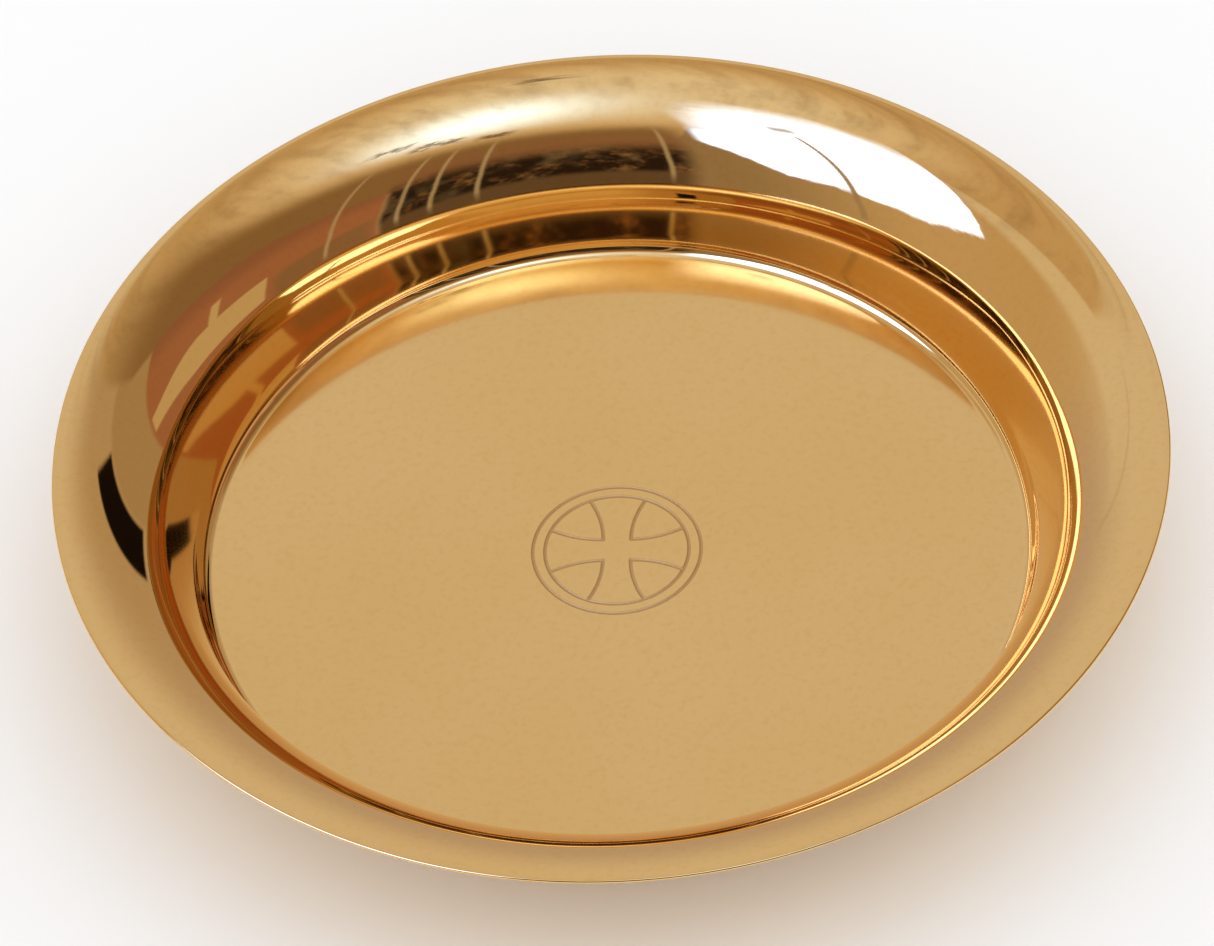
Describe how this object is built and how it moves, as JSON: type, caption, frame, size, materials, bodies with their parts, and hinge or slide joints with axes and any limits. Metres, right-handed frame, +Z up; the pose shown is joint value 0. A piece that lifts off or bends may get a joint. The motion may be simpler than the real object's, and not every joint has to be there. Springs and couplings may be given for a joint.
{
  "type": "communion bread plate",
  "caption": "Round spun metal bread plate with a broad quarter-round rim, a steep well, a flat floor engraved with a cross in a double ring, and a felt base in a foot ring.",
  "frame": {"origin": "centre of the face of the felt pad that the plate rests on", "axes": "+Z up along the axis of the dish; the arms of the engraved cross lie along X and Y"},
  "size_m": [0.254, 0.254, 0.0374],
  "materials": {
    "gilt_brass": "mirror polished and gilt, with a faintly satin floor",
    "base_felt": "pressed wool felt"
  },
  "bodies": {
    "root": {"dish_shell": "gilt_brass", "foot_ring": "gilt_brass", "felt_pad": "base_felt"}
  },
  "joints": []
}
